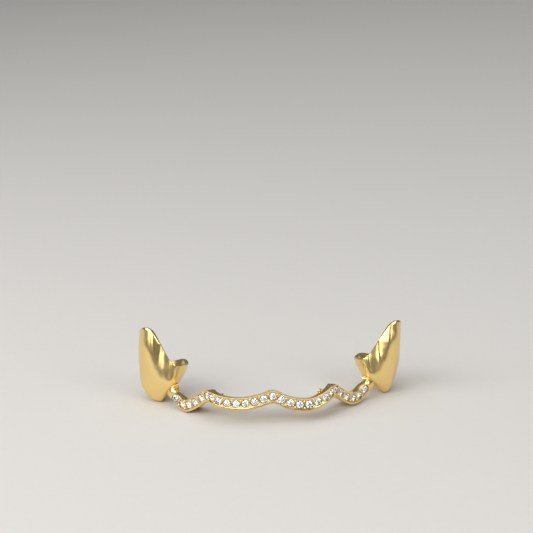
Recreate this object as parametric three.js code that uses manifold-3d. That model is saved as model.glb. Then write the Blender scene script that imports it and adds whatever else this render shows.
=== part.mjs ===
// A grillz: two fang caps joined by a scalloped bar that is set with one row of round stones.
// Millimetres, +Z up, +X to the viewer's right, +Y into the mouth. It rests on its tips and lobes at z = 0.

import * as THREE from 'three';
import { mergeVertices } from 'three/addons/utils/BufferGeometryUtils.js';
import Module from 'manifold-3d';

// Places of the canine tips, from the midline and the front of the bar
const tipHalfSpan = 17.1;
const tipDepth = 10.2;
const tipLift = 0.98;

// Cap over one canine
const crownHeight = 11.4;
const ridgeReach = 4.0;
const mesialReach = 4.3;
const lingualReach = 3.9;
const centreSetback = 1.5;
const capWall = 0.6;
const tipSolid = 1.5;
const socketStart = 0.36;

// Bar across the four incisors
const bedHeight = 1.2;
const bedDepth = 0.1;
const upperRail = 0.22;
const lowerRail = 0.43;
const frontWall = 1.15;
const soleThickness = 0.73;
const soleEdge = 0.24;
const channelWidth = 1.3;
const lipThickness = 0.4;
const lipHeight = 0.3;
const edgeRound = 0.12;
const scallopRise = 1.67;
const soleTaper = 2.6;
const soleEndShare = 0.08;
const plainEnd = 0.9;

// Stones, their seats and the beads that hold them
const stoneDiameter = 1.06;
const stoneSpacing = 1.31;
const endMargin = 0.85;
const tableShare = 0.57;
const crownShare = 0.15;
const girdleShare = 0.04;
const pavilionShare = 0.43;
const seatClearance = 0.045;
const tableProud = 0.02;
const beadRadius = 0.17;
const beadSink = 0.06;

// Flats that the tips and lobes are worn to where they rest
const wornFlat = 0.05;

// How fine the faceted surfaces are
const capAround = 44;
const capRowsOutside = 14;
const capRowsInside = 8;
const barSteps = 60;
const stoneSides = 10;
const beadSides = 6;
const beadRows = 4;
const lineSteps = 800;
const searchSteps = 4000;
const weldDistance = 1e-5;

// Each canine stands and faces outwards in its own way, with a taller or lower crown, a fuller or slimmer far
// side, a belly low on that side, and a lean outwards at the gum as a share of ridgeReach
const capSides = [
  { side: -1, facing: 56, outShare: 1.018, crownShare: 1.01, farShare: 1.04, belly: 0.44, lean: 0 },
  { side: 1, facing: 49, outShare: 1.0, crownShare: 0.97, farShare: 0.87, belly: 0.04, lean: 0.2 },
];
const bellyStart = 0.05;
const bellyEnd = 0.45;

// Directions round a cap's section, from the ridge by way of the midline side, with the size and the part of
// the belly that they share in
const capDirections = [
  { name: 'ridge', turn: 0, reach: ridgeReach, belly: 0.35 },
  { name: 'flank', turn: 25, reach: ridgeReach },
  { name: 'valley', turn: 50, reach: ridgeReach },
  { name: 'corner', turn: 74, reach: mesialReach },
  { name: 'mesial', turn: 95, reach: mesialReach },
  { name: 'inner', turn: 138, reach: lingualReach },
  { name: 'lingual', turn: 180, reach: lingualReach },
  { name: 'inner', turn: 222, reach: lingualReach },
  { name: 'distal', turn: 262, reach: mesialReach, belly: 0.5 },
  { name: 'farCorner', turn: 290, reach: mesialReach, far: true, belly: 0.9 },
  { name: 'farFlank', turn: 322, reach: ridgeReach, far: true, belly: 1 },
];

// Cap sections from tip to gum: height is a share of crownHeight, centre of centreSetback, the others of the
// reach of their direction
const capSections = [
  {
    height: 0.012, centre: 0.03, ridge: 0.11, flank: 0.115, valley: 0.12, corner: 0.12,
    mesial: 0.12, inner: 0.105, lingual: 0.1, distal: 0.11, farCorner: 0.115, farFlank: 0.11,
  },
  {
    height: 0.05, centre: 0.07, ridge: 0.23, flank: 0.23, valley: 0.23, corner: 0.24,
    mesial: 0.23, inner: 0.19, lingual: 0.18, distal: 0.22, farCorner: 0.23, farFlank: 0.23,
  },
  {
    height: 0.13, centre: 0.27, ridge: 0.42, flank: 0.42, valley: 0.44, corner: 0.52,
    mesial: 0.46, inner: 0.32, lingual: 0.29, distal: 0.38, farCorner: 0.41, farFlank: 0.43,
  },
  {
    height: 0.25, centre: 0.57, ridge: 0.65, flank: 0.64, valley: 0.69, corner: 0.9,
    mesial: 0.83, inner: 0.6, lingual: 0.53, distal: 0.63, farCorner: 0.66, farFlank: 0.69,
  },
  {
    height: 0.44, centre: 0.8, ridge: 0.86, flank: 0.84, valley: 0.8, corner: 0.99,
    mesial: 0.95, inner: 0.9, lingual: 0.82, distal: 0.9, farCorner: 0.93, farFlank: 0.96,
  },
  {
    height: 0.7, centre: 0.93, ridge: 0.99, flank: 0.94, valley: 0.77, corner: 0.97,
    mesial: 0.93, inner: 0.98, lingual: 0.96, distal: 0.95, farCorner: 0.96, farFlank: 1.0,
  },
  {
    height: 1.0, centre: 1.0, ridge: 0.96, flank: 0.9, valley: 0.72, corner: 0.91,
    mesial: 0.88, inner: 0.98, lingual: 1.0, distal: 0.93, farCorner: 0.91, farFlank: 0.94,
  },
];

// Gum line round the cap, as shares of crownHeight
const gumLine = {
  ridge: 1.0, flank: 0.956, valley: 0.745, corner: 0.545, mesial: 0.5, inner: 0.49,
  lingual: 0.53, distal: 0.49, farCorner: 0.62, farFlank: 0.91,
};

// Front face of the bar from the midline to the caps: out and back are shares of the way to the junction
// with a cap, leftRise and rightRise are shares of scallopRise above the lowest lobe
const barStations = [
  { out: 0.0, back: 0.014, leftRise: 0.86, rightRise: 0.86 },
  { out: 0.13, back: 0.003, leftRise: 0.57, rightRise: 0.38 },
  { out: 0.261, back: 0.0, leftRise: 0.36, rightRise: 0.09 },
  { out: 0.391, back: 0.025, leftRise: 0.37, rightRise: 0.09 },
  { out: 0.526, back: 0.113, leftRise: 0.6, rightRise: 0.52 },
  { out: 0.6, back: 0.211, leftRise: 0.83, rightRise: 0.89 },
  { out: 0.647, back: 0.345, leftRise: 1.0, rightRise: 1.08 },
  { out: 0.688, back: 0.478, leftRise: 0.86, rightRise: 0.78 },
  { out: 0.749, back: 0.577, leftRise: 0.47, rightRise: 0.34 },
  { out: 0.824, back: 0.69, leftRise: 0.11, rightRise: 0.06 },
  { out: 0.891, back: 0.816, leftRise: -0.04, rightRise: 0.13 },
  { out: 0.952, back: 0.94, leftRise: 0.3, rightRise: 0.56 },
];
const junction = { along: 0.93, back: 0.02, rise: 1.0 };
const buriedEnd = { along: 0.72, back: 0.06, rise: 1.4 };

const gold = { color: 0xe0b964, roughness: 0.16, metalness: 1 };
const diamond = { color: 0xf2f4f5, roughness: 0.05, metalness: 0 };

const wasm = await Module();
wasm.setup();

// Closed meshes from rings of points
function geometryOf(points, faces) {
  const geometry = new THREE.BufferGeometry();
  const positions = points.flatMap((point) => [point.x, point.y, point.z]);
  geometry.setAttribute('position', new THREE.Float32BufferAttribute(positions, 3));
  geometry.setIndex(faces.flat());
  return geometry;
}

function bandBetween(first, second, count) {
  const faces = [];
  for (let i = 0; i < count; i += 1) {
    const next = (i + 1) % count;
    faces.push([first + i, first + next, second + next]);
    faces.push([first + i, second + next, second + i]);
  }
  return faces;
}

function fanTo(pole, ring, count, outward) {
  const faces = [];
  for (let i = 0; i < count; i += 1) {
    const next = (i + 1) % count;
    faces.push(outward ? [pole, ring + i, ring + next] : [pole, ring + next, ring + i]);
  }
  return faces;
}

function closedBetweenPoles(bottom, rings, top) {
  const count = rings[0].length;
  const points = [bottom, ...rings.flat(), top];
  const faces = fanTo(0, 1, count, false);
  for (let row = 0; row + 1 < rings.length; row += 1) {
    faces.push(...bandBetween(1 + row * count, 1 + (row + 1) * count, count));
  }
  faces.push(...fanTo(points.length - 1, 1 + (rings.length - 1) * count, count, true));
  return geometryOf(points, faces);
}

function closedSweep(rings, outline) {
  const count = outline.length;
  const faces = [];
  for (let row = 0; row + 1 < rings.length; row += 1) {
    faces.push(...bandBetween(row * count, (row + 1) * count, count));
  }
  const last = (rings.length - 1) * count;
  for (const [a, b, c] of THREE.ShapeUtils.triangulateShape(outline, [])) {
    faces.push([c, b, a]);
    faces.push([last + a, last + b, last + c]);
  }
  return geometryOf(rings.flat(), faces);
}

// Solids for joining and cutting, always with their faces pointing out
function solidOf(geometry, matrix) {
  const placed = geometry.clone().deleteAttribute('normal').deleteAttribute('uv');
  if (matrix) placed.applyMatrix4(matrix);
  const merged = mergeVertices(placed, weldDistance);
  const triVerts = Uint32Array.from(merged.index.array);
  const vertProperties = Float32Array.from(merged.attributes.position.array);
  const solid = new wasm.Manifold(new wasm.Mesh({ numProp: 3, vertProperties, triVerts }));
  if (solid.volume() > 0) return solid;
  const turned = triVerts.slice();
  for (let i = 0; i < turned.length; i += 3) [turned[i], turned[i + 1]] = [turned[i + 1], turned[i]];
  return new wasm.Manifold(new wasm.Mesh({ numProp: 3, vertProperties, triVerts: turned }));
}

function geometryFrom(solid) {
  const { vertProperties, triVerts } = solid.getMesh();
  const geometry = new THREE.BufferGeometry();
  geometry.setAttribute('position', new THREE.Float32BufferAttribute(vertProperties, 3));
  geometry.setIndex(Array.from(triVerts));
  return geometry;
}

// Frame of one cap, at its tip: mesial towards the midline, labial towards the lips
function capFrame({ side, facing, outShare }) {
  const angle = THREE.MathUtils.degToRad(facing);
  return {
    tip: new THREE.Vector3(side * outShare * tipHalfSpan, tipDepth, tipLift),
    labial: new THREE.Vector3(side * Math.sin(angle), -Math.cos(angle), 0),
    mesial: new THREE.Vector3(-side * Math.cos(angle), -Math.sin(angle), 0),
  };
}

// A smooth form through the sections. Local points hold x along mesial, y along labial and z up
function capForm(cap) {
  const crown = cap.crownShare * crownHeight;
  const facing = THREE.MathUtils.degToRad(cap.facing);
  const centreOf = ({ centre, height }) => {
    const out = cap.lean * ridgeReach * height ** 3;
    return new THREE.Vector3(
      -out * Math.cos(facing),
      out * Math.sin(facing) - centre * centreSetback,
      height * crown,
    );
  };
  const columns = capDirections.map(({ name, turn, reach, far, belly = 0 }) => {
    const angle = THREE.MathUtils.degToRad(turn);
    const points = capSections.map((section) => {
      const low = 1 - THREE.MathUtils.smoothstep(section.height, bellyStart, bellyEnd);
      const fullness = (far ? cap.farShare : 1) * (1 + belly * cap.belly * low);
      const length = section[name] * reach * fullness;
      return centreOf(section).add(new THREE.Vector3(length * Math.sin(angle), length * Math.cos(angle), 0));
    });
    return new THREE.CatmullRomCurve3(points, false, 'centripetal');
  });
  const middle = new THREE.CatmullRomCurve3(capSections.map(centreOf), false, 'centripetal');
  const gum = new THREE.CatmullRomCurve3(
    capDirections.map(({ name }, index) => new THREE.Vector3(index, 0, gumLine[name] * crown)),
    true,
    'catmullrom',
  );
  const point = (around, up) => {
    const ring = new THREE.CatmullRomCurve3(columns.map((column) => column.getPoint(up)), true, 'centripetal');
    return ring.getPoint(around);
  };
  return { point, middle, gum };
}

// The share of the way up at which the wall in one direction reaches the gum line
function gumShare(form, around) {
  const height = form.gum.getPoint(around).z;
  let low = 0;
  let high = 1;
  for (let i = 0; i < 20; i += 1) {
    const middle = (low + high) / 2;
    if (form.point(around, middle).z < height) low = middle;
    else high = middle;
  }
  return high;
}

function capRings(form, from, rows, inset) {
  const shares = [];
  for (let i = 0; i < capAround; i += 1) shares.push(gumShare(form, i / capAround));
  const rings = [];
  for (let row = 0; row <= rows; row += 1) {
    const share = from + ((1 - from) * row) / rows;
    rings.push(
      shares.map((gum, i) => {
        const point = form.point(i / capAround, share * gum);
        const centre = form.middle.getPoint(share * gum);
        const inwards = new THREE.Vector3(centre.x - point.x, centre.y - point.y, 0).normalize();
        return point.addScaledVector(inwards, inset);
      }),
    );
  }
  return rings;
}

function place(point, frame) {
  return frame.tip
    .clone()
    .addScaledVector(frame.mesial, point.x)
    .addScaledVector(frame.labial, point.y)
    .add(new THREE.Vector3(0, 0, point.z));
}

function middleOf(ring) {
  const centre = new THREE.Vector3();
  ring.forEach((point) => centre.add(point));
  return centre.divideScalar(ring.length);
}

function capShell(frame, form) {
  const outside = capRings(form, 0, capRowsOutside, 0);
  const socket = capRings(form, socketStart, capRowsInside, capWall);
  const floor = middleOf(socket[0]);
  floor.z = tipSolid;
  const rings = [...outside, ...socket.toReversed()].map((ring) => ring.map((point) => place(point, frame)));
  return solidOf(closedBetweenPoles(frame.tip, rings, place(floor, frame)));
}

// What fills the cap as far as the middle of its wall
function capCore(frame, form) {
  const rings = capRings(form, socketStart, capRowsInside, capWall / 2);
  const placed = rings.map((ring) => ring.map((point) => place(point, frame)));
  const floor = middleOf(rings[0]);
  floor.z = tipSolid;
  return solidOf(closedBetweenPoles(place(floor, frame), placed, middleOf(placed.at(-1))));
}

// The bar's front line, from one cap to the other
function besideCap(frame, { along, back, rise }) {
  return frame.tip
    .clone()
    .addScaledVector(frame.mesial, along * mesialReach)
    .addScaledVector(frame.labial, -back * mesialReach)
    .setZ(rowHeight + rise * scallopRise);
}

function barHalf(frame, side) {
  const end = besideCap(frame, junction);
  const points = barStations.map(({ out, back, leftRise, rightRise }) => {
    const rise = side < 0 ? leftRise : rightRise;
    return new THREE.Vector3(out * end.x, back * end.y, rowHeight + rise * scallopRise);
  });
  points.push(end, besideCap(frame, buriedEnd));
  return side < 0 ? points.reverse() : points.slice(1);
}

// Stones lie along the middle of the bed, this high above the lowest lobe's underside
const rowHeight = bedHeight / 2 + lowerRail;

const frames = capSides.map(capFrame);
const forms = capSides.map(capForm);
const barLine = new THREE.CatmullRomCurve3(
  frames.flatMap((frame, index) => barHalf(frame, capSides[index].side)),
  false,
  'centripetal',
);
barLine.arcLengthDivisions = lineSteps;

// Right-handed frame on the bar: along the line, into the mouth, up
function barFrame(share) {
  const origin = barLine.getPointAt(share);
  const along = barLine.getTangentAt(share).setZ(0).normalize();
  return { origin, along, inwards: new THREE.Vector3(-along.y, along.x, 0) };
}

const barLength = barLine.getLength();
const middleShare = shareNearest(barLine.points[barStations.length + 1]);
const junctionShares = frames.map((frame) => shareNearest(besideCap(frame, junction)));

function shareNearest(target) {
  let best = { share: 0, distance: Infinity };
  for (let i = 0; i <= searchSteps; i += 1) {
    const distance = barLine.getPointAt(i / searchSteps).distanceTo(target);
    if (distance < best.distance) best = { share: i / searchSteps, distance };
  }
  return best.share;
}

// Section of the bar: x into the mouth from the front face, y up from the middle of the stones. The lip
// stands lower where the sole is narrower
function barOutline(sole) {
  const bed = bedHeight / 2;
  const top = bed + upperRail;
  const foot = -bed - lowerRail;
  const channelFloor = foot + soleThickness;
  const channelBack = frontWall + sole * channelWidth;
  const lipBack = channelBack + sole * lipThickness;
  const lipTop = channelFloor + sole * lipHeight;
  const slope = bedDepth / 4;
  const round = sole * edgeRound;
  return [
    [edgeRound, foot],
    [0, foot + edgeRound],
    [0, -bed - slope],
    [bedDepth, -bed],
    [bedDepth, bed],
    [0, bed + slope],
    [0, top - edgeRound / 2],
    [edgeRound / 2, top],
    [frontWall, top + edgeRound / 2],
    [frontWall, channelFloor],
    [channelBack, channelFloor],
    [channelBack, lipTop],
    [lipBack - round, lipTop + round / 2],
    [lipBack, lipTop - round],
    [lipBack, channelFloor - round],
    [lipBack - round, channelFloor - soleEdge],
    [frontWall / 2, foot],
  ]
    .map(([x, y]) => new THREE.Vector2(x, y))
    .reverse();
}

// The sole narrows towards each cap and ends a little before it
function soleShare(share) {
  const toCap = Math.min(share - junctionShares[0], junctionShares[1] - share) * barLength;
  const full = THREE.MathUtils.smoothstep(toCap, plainEnd, plainEnd + soleTaper);
  return THREE.MathUtils.lerp(soleEndShare, 1, full);
}

const barRings = [];
for (let step = 0; step <= barSteps; step += 1) {
  const { origin, inwards } = barFrame(step / barSteps);
  barRings.push(
    barOutline(soleShare(step / barSteps)).map(({ x, y }) =>
      origin.clone().addScaledVector(inwards, x).add(new THREE.Vector3(0, 0, y)),
    ),
  );
}

// Stones are spread evenly from the midline to each junction
function spread(direction) {
  const reach = Math.abs(junctionShares[direction < 0 ? 0 : 1] - middleShare) * barLength - endMargin;
  const count = Math.floor(reach / stoneSpacing);
  return { count, pitch: (direction * reach) / count };
}

const left = spread(-1);
const right = spread(1);
const stoneShares = [];
for (let i = left.count; i > 0; i -= 1) stoneShares.push(middleShare + (i * left.pitch) / barLength);
for (let i = 0; i <= right.count; i += 1) stoneShares.push(middleShare + (i * right.pitch) / barLength);

// Places a lathe with its axis, +Y, pointing out of the bar's front
function onFront(share, proud, height = 0) {
  const { origin, along, inwards } = barFrame(share);
  const outwards = inwards.clone().negate();
  const third = new THREE.Vector3().crossVectors(along, outwards);
  const position = origin.addScaledVector(outwards, proud).add(new THREE.Vector3(0, 0, height));
  return new THREE.Matrix4().makeBasis(along, outwards, third).setPosition(position);
}

const radius = stoneDiameter / 2;
function stoneGeometry() {
  const girdleTop = -crownShare * stoneDiameter;
  const girdleFoot = girdleTop - girdleShare * stoneDiameter;
  const culet = girdleFoot - pavilionShare * stoneDiameter;
  const profile = [
    [0, culet],
    [radius, girdleFoot],
    [radius, girdleTop],
    [radius * tableShare, 0],
    [0, 0],
  ].map(([x, y]) => new THREE.Vector2(x, y));
  return mergeVertices(
    new THREE.LatheGeometry(profile, stoneSides).deleteAttribute('normal').deleteAttribute('uv'),
    weldDistance,
  );
}

function seatGeometry() {
  const girdleFoot = -(crownShare + girdleShare) * stoneDiameter;
  const culet = girdleFoot - pavilionShare * stoneDiameter;
  const profile = [
    [0, culet - 2 * seatClearance],
    [radius + seatClearance, girdleFoot - seatClearance],
    [radius + seatClearance, bedDepth + tableProud + seatClearance],
    [0, bedDepth + tableProud + seatClearance],
  ].map(([x, y]) => new THREE.Vector2(x, y));
  return new THREE.LatheGeometry(profile, stoneSides);
}

// One casting: bar and caps are joined, then the seats are cut and the beads raised
function casting() {
  let metal = solidOf(closedSweep(barRings, barOutline(1)));
  frames.forEach((frame, index) => {
    metal = metal.subtract(capCore(frame, forms[index])).add(capShell(frame, forms[index]));
  });
  const bead = new THREE.SphereGeometry(beadRadius, beadSides, beadRows);
  const beadHeight = bedHeight / 2 + beadSink - beadRadius;
  const beadShares = stoneShares.slice(1).map((share, index) => (share + stoneShares[index]) / 2);
  for (const share of beadShares) {
    metal = metal.add(solidOf(bead, onFront(share, -bedDepth, beadHeight)));
    metal = metal.add(solidOf(bead, onFront(share, -bedDepth, -beadHeight)));
  }
  for (const share of stoneShares) metal = metal.subtract(solidOf(seatGeometry(), onFront(share, tableProud)));
  return metal;
}

// The pose in which it stands by itself: the edge of its side view's underside that lies below its centre
function restPose(geometry) {
  const position = geometry.attributes.position;
  const points = [];
  for (let i = 0; i < position.count; i += 1) points.push(new THREE.Vector2(position.getY(i), position.getZ(i)));
  points.sort((a, b) => a.x - b.x || a.y - b.y);
  const under = [];
  for (const point of points) {
    while (under.length > 1) {
      const [a, b] = under.slice(-2);
      if ((b.x - a.x) * (point.y - a.y) - (b.y - a.y) * (point.x - a.x) > 0) break;
      under.pop();
    }
    under.push(point);
  }
  const last = under.findIndex((point) => point.x > balanceDepth(geometry));
  const [a, b] = [under[last - 1], under[last]];
  return -Math.atan2(b.y - a.y, b.x - a.x);
}

function balanceDepth(geometry) {
  const position = geometry.attributes.position;
  const index = geometry.index.array;
  const [a, b, c] = [new THREE.Vector3(), new THREE.Vector3(), new THREE.Vector3()];
  let volume = 0;
  let moment = 0;
  for (let i = 0; i < index.length; i += 3) {
    a.fromBufferAttribute(position, index[i]);
    b.fromBufferAttribute(position, index[i + 1]);
    c.fromBufferAttribute(position, index[i + 2]);
    const piece = a.dot(b.clone().cross(c)) / 6;
    volume += piece;
    moment += (piece * (a.y + b.y + c.y)) / 4;
  }
  return moment / volume;
}

const metal = casting();
const rawCasting = geometryFrom(metal);
const standing = new THREE.Matrix4().makeRotationX(restPose(rawCasting));
rawCasting.applyMatrix4(standing).computeBoundingBox();
const box = rawCasting.boundingBox;

// Worn flats are ground off below a level plane, which becomes z = 0
const floorHeight = box.min.z + wornFlat;
const grinder = new THREE.BoxGeometry(4 * tipHalfSpan, 8 * tipDepth, 2 * wornFlat);
grinder.translate(0, 0, floorHeight - wornFlat);
const castingGeometry = geometryFrom(solidOf(rawCasting).subtract(solidOf(grinder)));

const grillz = new THREE.Group();
grillz.position.set(-(box.min.x + box.max.x) / 2, -(box.min.y + box.max.y) / 2, -floorHeight);

const castingMesh = new THREE.Mesh(castingGeometry, new THREE.MeshStandardMaterial(gold));
castingMesh.name = 'casting';
grillz.add(castingMesh);

stoneShares.forEach((share, index) => {
  const stone = new THREE.Mesh(stoneGeometry(), new THREE.MeshStandardMaterial(diamond));
  stone.name = `stone_${String(index + 1).padStart(2, '0')}`;
  stone.applyMatrix4(standing.clone().multiply(onFront(share, tableProud)));
  grillz.add(stone);
});

export default grillz;
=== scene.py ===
from math import cos, pi, radians, sin

import bmesh
import bpy
import numpy as np
from bpy.props import FloatProperty, FloatVectorProperty, IntProperty, PointerProperty
from mathutils import Matrix, Vector


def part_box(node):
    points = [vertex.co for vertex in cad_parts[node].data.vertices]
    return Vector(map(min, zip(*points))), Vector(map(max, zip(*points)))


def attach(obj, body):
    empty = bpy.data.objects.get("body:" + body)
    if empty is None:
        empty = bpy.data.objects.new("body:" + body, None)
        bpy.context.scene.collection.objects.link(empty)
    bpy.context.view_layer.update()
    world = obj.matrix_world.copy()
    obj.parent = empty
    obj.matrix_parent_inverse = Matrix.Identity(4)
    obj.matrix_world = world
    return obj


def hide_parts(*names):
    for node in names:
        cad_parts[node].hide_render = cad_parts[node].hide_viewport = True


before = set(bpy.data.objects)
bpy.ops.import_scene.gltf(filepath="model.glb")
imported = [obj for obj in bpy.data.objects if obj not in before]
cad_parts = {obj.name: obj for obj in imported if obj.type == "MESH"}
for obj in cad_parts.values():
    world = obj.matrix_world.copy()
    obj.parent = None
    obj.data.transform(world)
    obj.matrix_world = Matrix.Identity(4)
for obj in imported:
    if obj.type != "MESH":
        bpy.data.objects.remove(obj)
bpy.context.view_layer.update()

bl_info = {
    "name": "Grillz",
    "version": (1, 0, 0),
    "blender": (4, 5, 0),
    "location": "View3D > Sidebar > Grillz",
    "description": "Gold fang caps joined by a scalloped bar that is set with a row of diamonds",
    "category": "Add Mesh",
}

STONES = sorted(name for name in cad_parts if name.startswith("stone_"))
MM = 0.001

# Distances below these count as none, in metres
WELD = 1e-7
FACET_WELD = 1e-6
CUT_THRESHOLD = 1e-9
SAME_KNOT = 1e-7

# Directions round a cap's section, from the ridge by way of the midline side: name, turn in
# degrees, the reach that their share is taken of and their part of the belly
CAP_DIRECTIONS = (
    ("ridge", 0, "ridge_reach", 0.35),
    ("flank", 25, "ridge_reach", 0.0),
    ("valley", 50, "ridge_reach", 0.0),
    ("corner", 74, "mesial_reach", 0.0),
    ("mesial", 95, "mesial_reach", 0.0),
    ("inner", 138, "lingual_reach", 0.0),
    ("lingual", 180, "lingual_reach", 0.0),
    ("back inner", 222, "lingual_reach", 0.0),
    ("distal", 262, "mesial_reach", 0.5),
    ("far corner", 290, "mesial_reach", 0.9),
    ("far flank", 322, "ridge_reach", 1.0),
)
FAR_DIRECTIONS = ("far corner", "far flank")

# Shares of the crown between which the belly fades out
BELLY_SPAN = (0.05, 0.45)

# Cap sections from tip to gum: height is a share of the crown, centre of the setback, and the
# others, in the order of the directions, of their reach
CAP_SECTIONS = (
    (0.012, 0.03, (0.11, 0.115, 0.12, 0.12, 0.12, 0.105, 0.1, 0.105, 0.11, 0.115, 0.11)),
    (0.05, 0.07, (0.23, 0.23, 0.23, 0.24, 0.23, 0.19, 0.18, 0.19, 0.22, 0.23, 0.23)),
    (0.13, 0.27, (0.42, 0.42, 0.44, 0.52, 0.46, 0.32, 0.29, 0.32, 0.38, 0.41, 0.43)),
    (0.25, 0.57, (0.65, 0.64, 0.69, 0.9, 0.83, 0.6, 0.53, 0.6, 0.63, 0.66, 0.69)),
    (0.44, 0.8, (0.86, 0.84, 0.8, 0.99, 0.95, 0.9, 0.82, 0.9, 0.9, 0.93, 0.96)),
    (0.7, 0.93, (0.99, 0.94, 0.77, 0.97, 0.93, 0.98, 0.96, 0.98, 0.95, 0.96, 1.0)),
    (1.0, 1.0, (0.96, 0.9, 0.72, 0.91, 0.88, 0.98, 1.0, 0.98, 0.93, 0.91, 0.94)),
)

# Height of the gum line in each direction, as a share of the crown
GUM_LINE = (1.0, 0.956, 0.745, 0.545, 0.5, 0.49, 0.53, 0.49, 0.49, 0.62, 0.91)

# Outer rows lie closer together near the tip, the rim rises by a share of half the wall, and rows
# at these shares lead from the foot of the socket's wall to the middle of its floor
ROW_SPACING = 1.15
RIM_RISE = 0.36
SOCKET_FLOOR_ROWS = (0.8, 0.55, 0.3, 0.12)
GUM_HALVINGS = 20

# Each cap: side, facing in degrees, its shares of span, crown and far side, its belly and its
# outward lean
CAP_SIDES = (
    {
        "side": -1, "facing": 56, "out": 1.018, "crown": 1.01, "far": 1.04,
        "belly": 0.44, "lean": 0.0,
    },
    {
        "side": 1, "facing": 49, "out": 1.0, "crown": 0.97, "far": 0.87,
        "belly": 0.04, "lean": 0.2,
    },
)

# Front face of the bar from the midline to the caps: out and back are shares of the way to the
# junction, left and right rise shares of the scallop's rise
BAR_STATIONS = (
    (0.0, 0.014, 0.86, 0.86),
    (0.13, 0.003, 0.57, 0.38),
    (0.261, 0.0, 0.36, 0.09),
    (0.391, 0.025, 0.37, 0.09),
    (0.526, 0.113, 0.6, 0.52),
    (0.6, 0.211, 0.83, 0.89),
    (0.647, 0.345, 1.0, 1.08),
    (0.688, 0.478, 0.86, 0.78),
    (0.749, 0.577, 0.47, 0.34),
    (0.824, 0.69, 0.11, 0.06),
    (0.891, 0.816, -0.04, 0.13),
    (0.952, 0.94, 0.3, 0.56),
)

# Places beside a cap: along and back are shares of its midline reach, rise of the scallop's rise
JUNCTION = {"along": 0.93, "back": 0.02, "rise": 1.0}
BURIED_END = {"along": 0.72, "back": 0.06, "rise": 1.4}
SHOULDER = {"along": 0.78, "back": 0.07, "rise": 1.02}

# Points along the bar's line that lengths are measured on, and the step that its direction is
# taken over
LINE_SAMPLES = 6001
DIRECTION_STEP = 1e-4

# Faces round the smaller solids, the slope that tells the faces at a seat's foot, the beads'
# width, height and depth as shares of a ball's, and the turn in degrees from stone to stone and
# from facet to facet
SEAT_SIDES = 40
DOWNWARD = -0.9
SHOULDER_SEGMENTS = 48
BEAD_SEGMENTS = 20
BEAD_RINGS = 12
BEAD_SHAPE = (0.86, 1.0, 0.95)
STONE_TURN = 37
FACET_TURN = 45

# Angles in degrees
BEVEL_ABOVE = 24
CASTING_SMOOTH = 32
BEAD_SMOOTH = 60


def length(name, description, millimetres):
    return FloatProperty(
        name=name, description=description, default=millimetres * MM,
        unit="LENGTH", subtype="DISTANCE", precision=5,
    )


def share(name, description, value):
    return FloatProperty(name=name, description=description, default=value, min=0.0, max=2.0)


def number(name, description, value, least):
    return IntProperty(name=name, description=description, default=value, min=least)


def colour(name, description, value):
    return FloatVectorProperty(name=name, description=description, subtype="COLOR", default=value)


class GrillzCaps(bpy.types.PropertyGroup):
    tip_half_span: length("Tip half span", "From the midline to the tip of a canine", 17.1)
    tip_depth: length("Tip depth", "From the front of the bar back to the tips", 10.2)
    tip_lift: length("Tip lift", "Height of the tips above the lowest lobes of the bar", 0.98)
    crown: length("Crown height", "From the tip to the gum line at the ridge", 11.4)
    ridge_reach: length("Ridge reach", "From the middle of a cap to its ridge", 4.0)
    mesial_reach: length("Midline reach", "From the middle of a cap to its midline side", 4.3)
    lingual_reach: length("Inner reach", "From the middle of a cap to its inner side", 3.9)
    setback: length("Centre setback", "How far the middle of the gum line lies behind the tip", 1.5)
    wall: length("Cap wall", "Thickness of the gold round the tooth", 0.6)
    tip_solid: length("Solid tip", "Gold between the tip and the socket", 1.5)
    socket_start: share("Socket start", "Share of the crown where the socket's wall starts", 0.36)
    around: number("Columns", "Faces round a cap", 132, 24)
    rows_outside: number("Outer rows", "Faces up the outside of a cap", 84, 8)
    rows_rim: number("Rim rows", "Faces over the rim of a cap", 8, 2)
    rows_inside: number("Inner rows", "Faces down the socket of a cap", 36, 8)


class GrillzBar(bpy.types.PropertyGroup):
    bed_height: length("Bed height", "Height of the sunk bed that holds the stones", 1.2)
    bed: length("Bed depth", "How deep the bed of the stones lies below the rails", 0.1)
    upper_rail: length("Upper rail", "Height of the polished rail above the stones", 0.22)
    lower_rail: length("Lower rail", "Height of the polished rail below the stones", 0.43)
    front_wall: length("Front wall", "Gold from the front face to the channel for the teeth", 1.15)
    sole: length("Sole thickness", "Gold below the biting edges", 0.73)
    sole_edge: length("Sole edge", "Thickness of the sole at its inner edge", 0.24)
    channel: length("Channel width", "Width of the channel for the biting edges", 1.3)
    lip: length("Lip thickness", "Thickness of the inner lip", 0.4)
    lip_height: length("Lip height", "Height of the inner lip above the channel", 0.3)
    edge: length("Edge round", "Radius at the corners of the section", 0.12)
    polish: length("Polished edge", "Width to which sharp edges are rubbed down", 0.05)
    rise: length("Scallop rise", "Height of the scallops between the teeth", 1.67)
    taper: length("Sole taper", "Length over which the sole narrows towards a cap", 2.6)
    plain_end: length("Plain end", "Length of the bar next to a cap that has no channel", 0.9)
    end_share: share("Sole end", "Share of the sole's depth that is left at a cap", 0.08)
    shoulder_along: length("Shoulder length", "Reach of a cap's solder towards the midline", 1.15)
    shoulder_out: length("Shoulder thickness", "Reach of a cap's solder towards the lips", 0.55)
    shoulder_up: length("Shoulder height", "Reach of a cap's solder up and down", 1.0)
    steps: number("Steps", "Faces along the bar", 260, 40)


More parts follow.
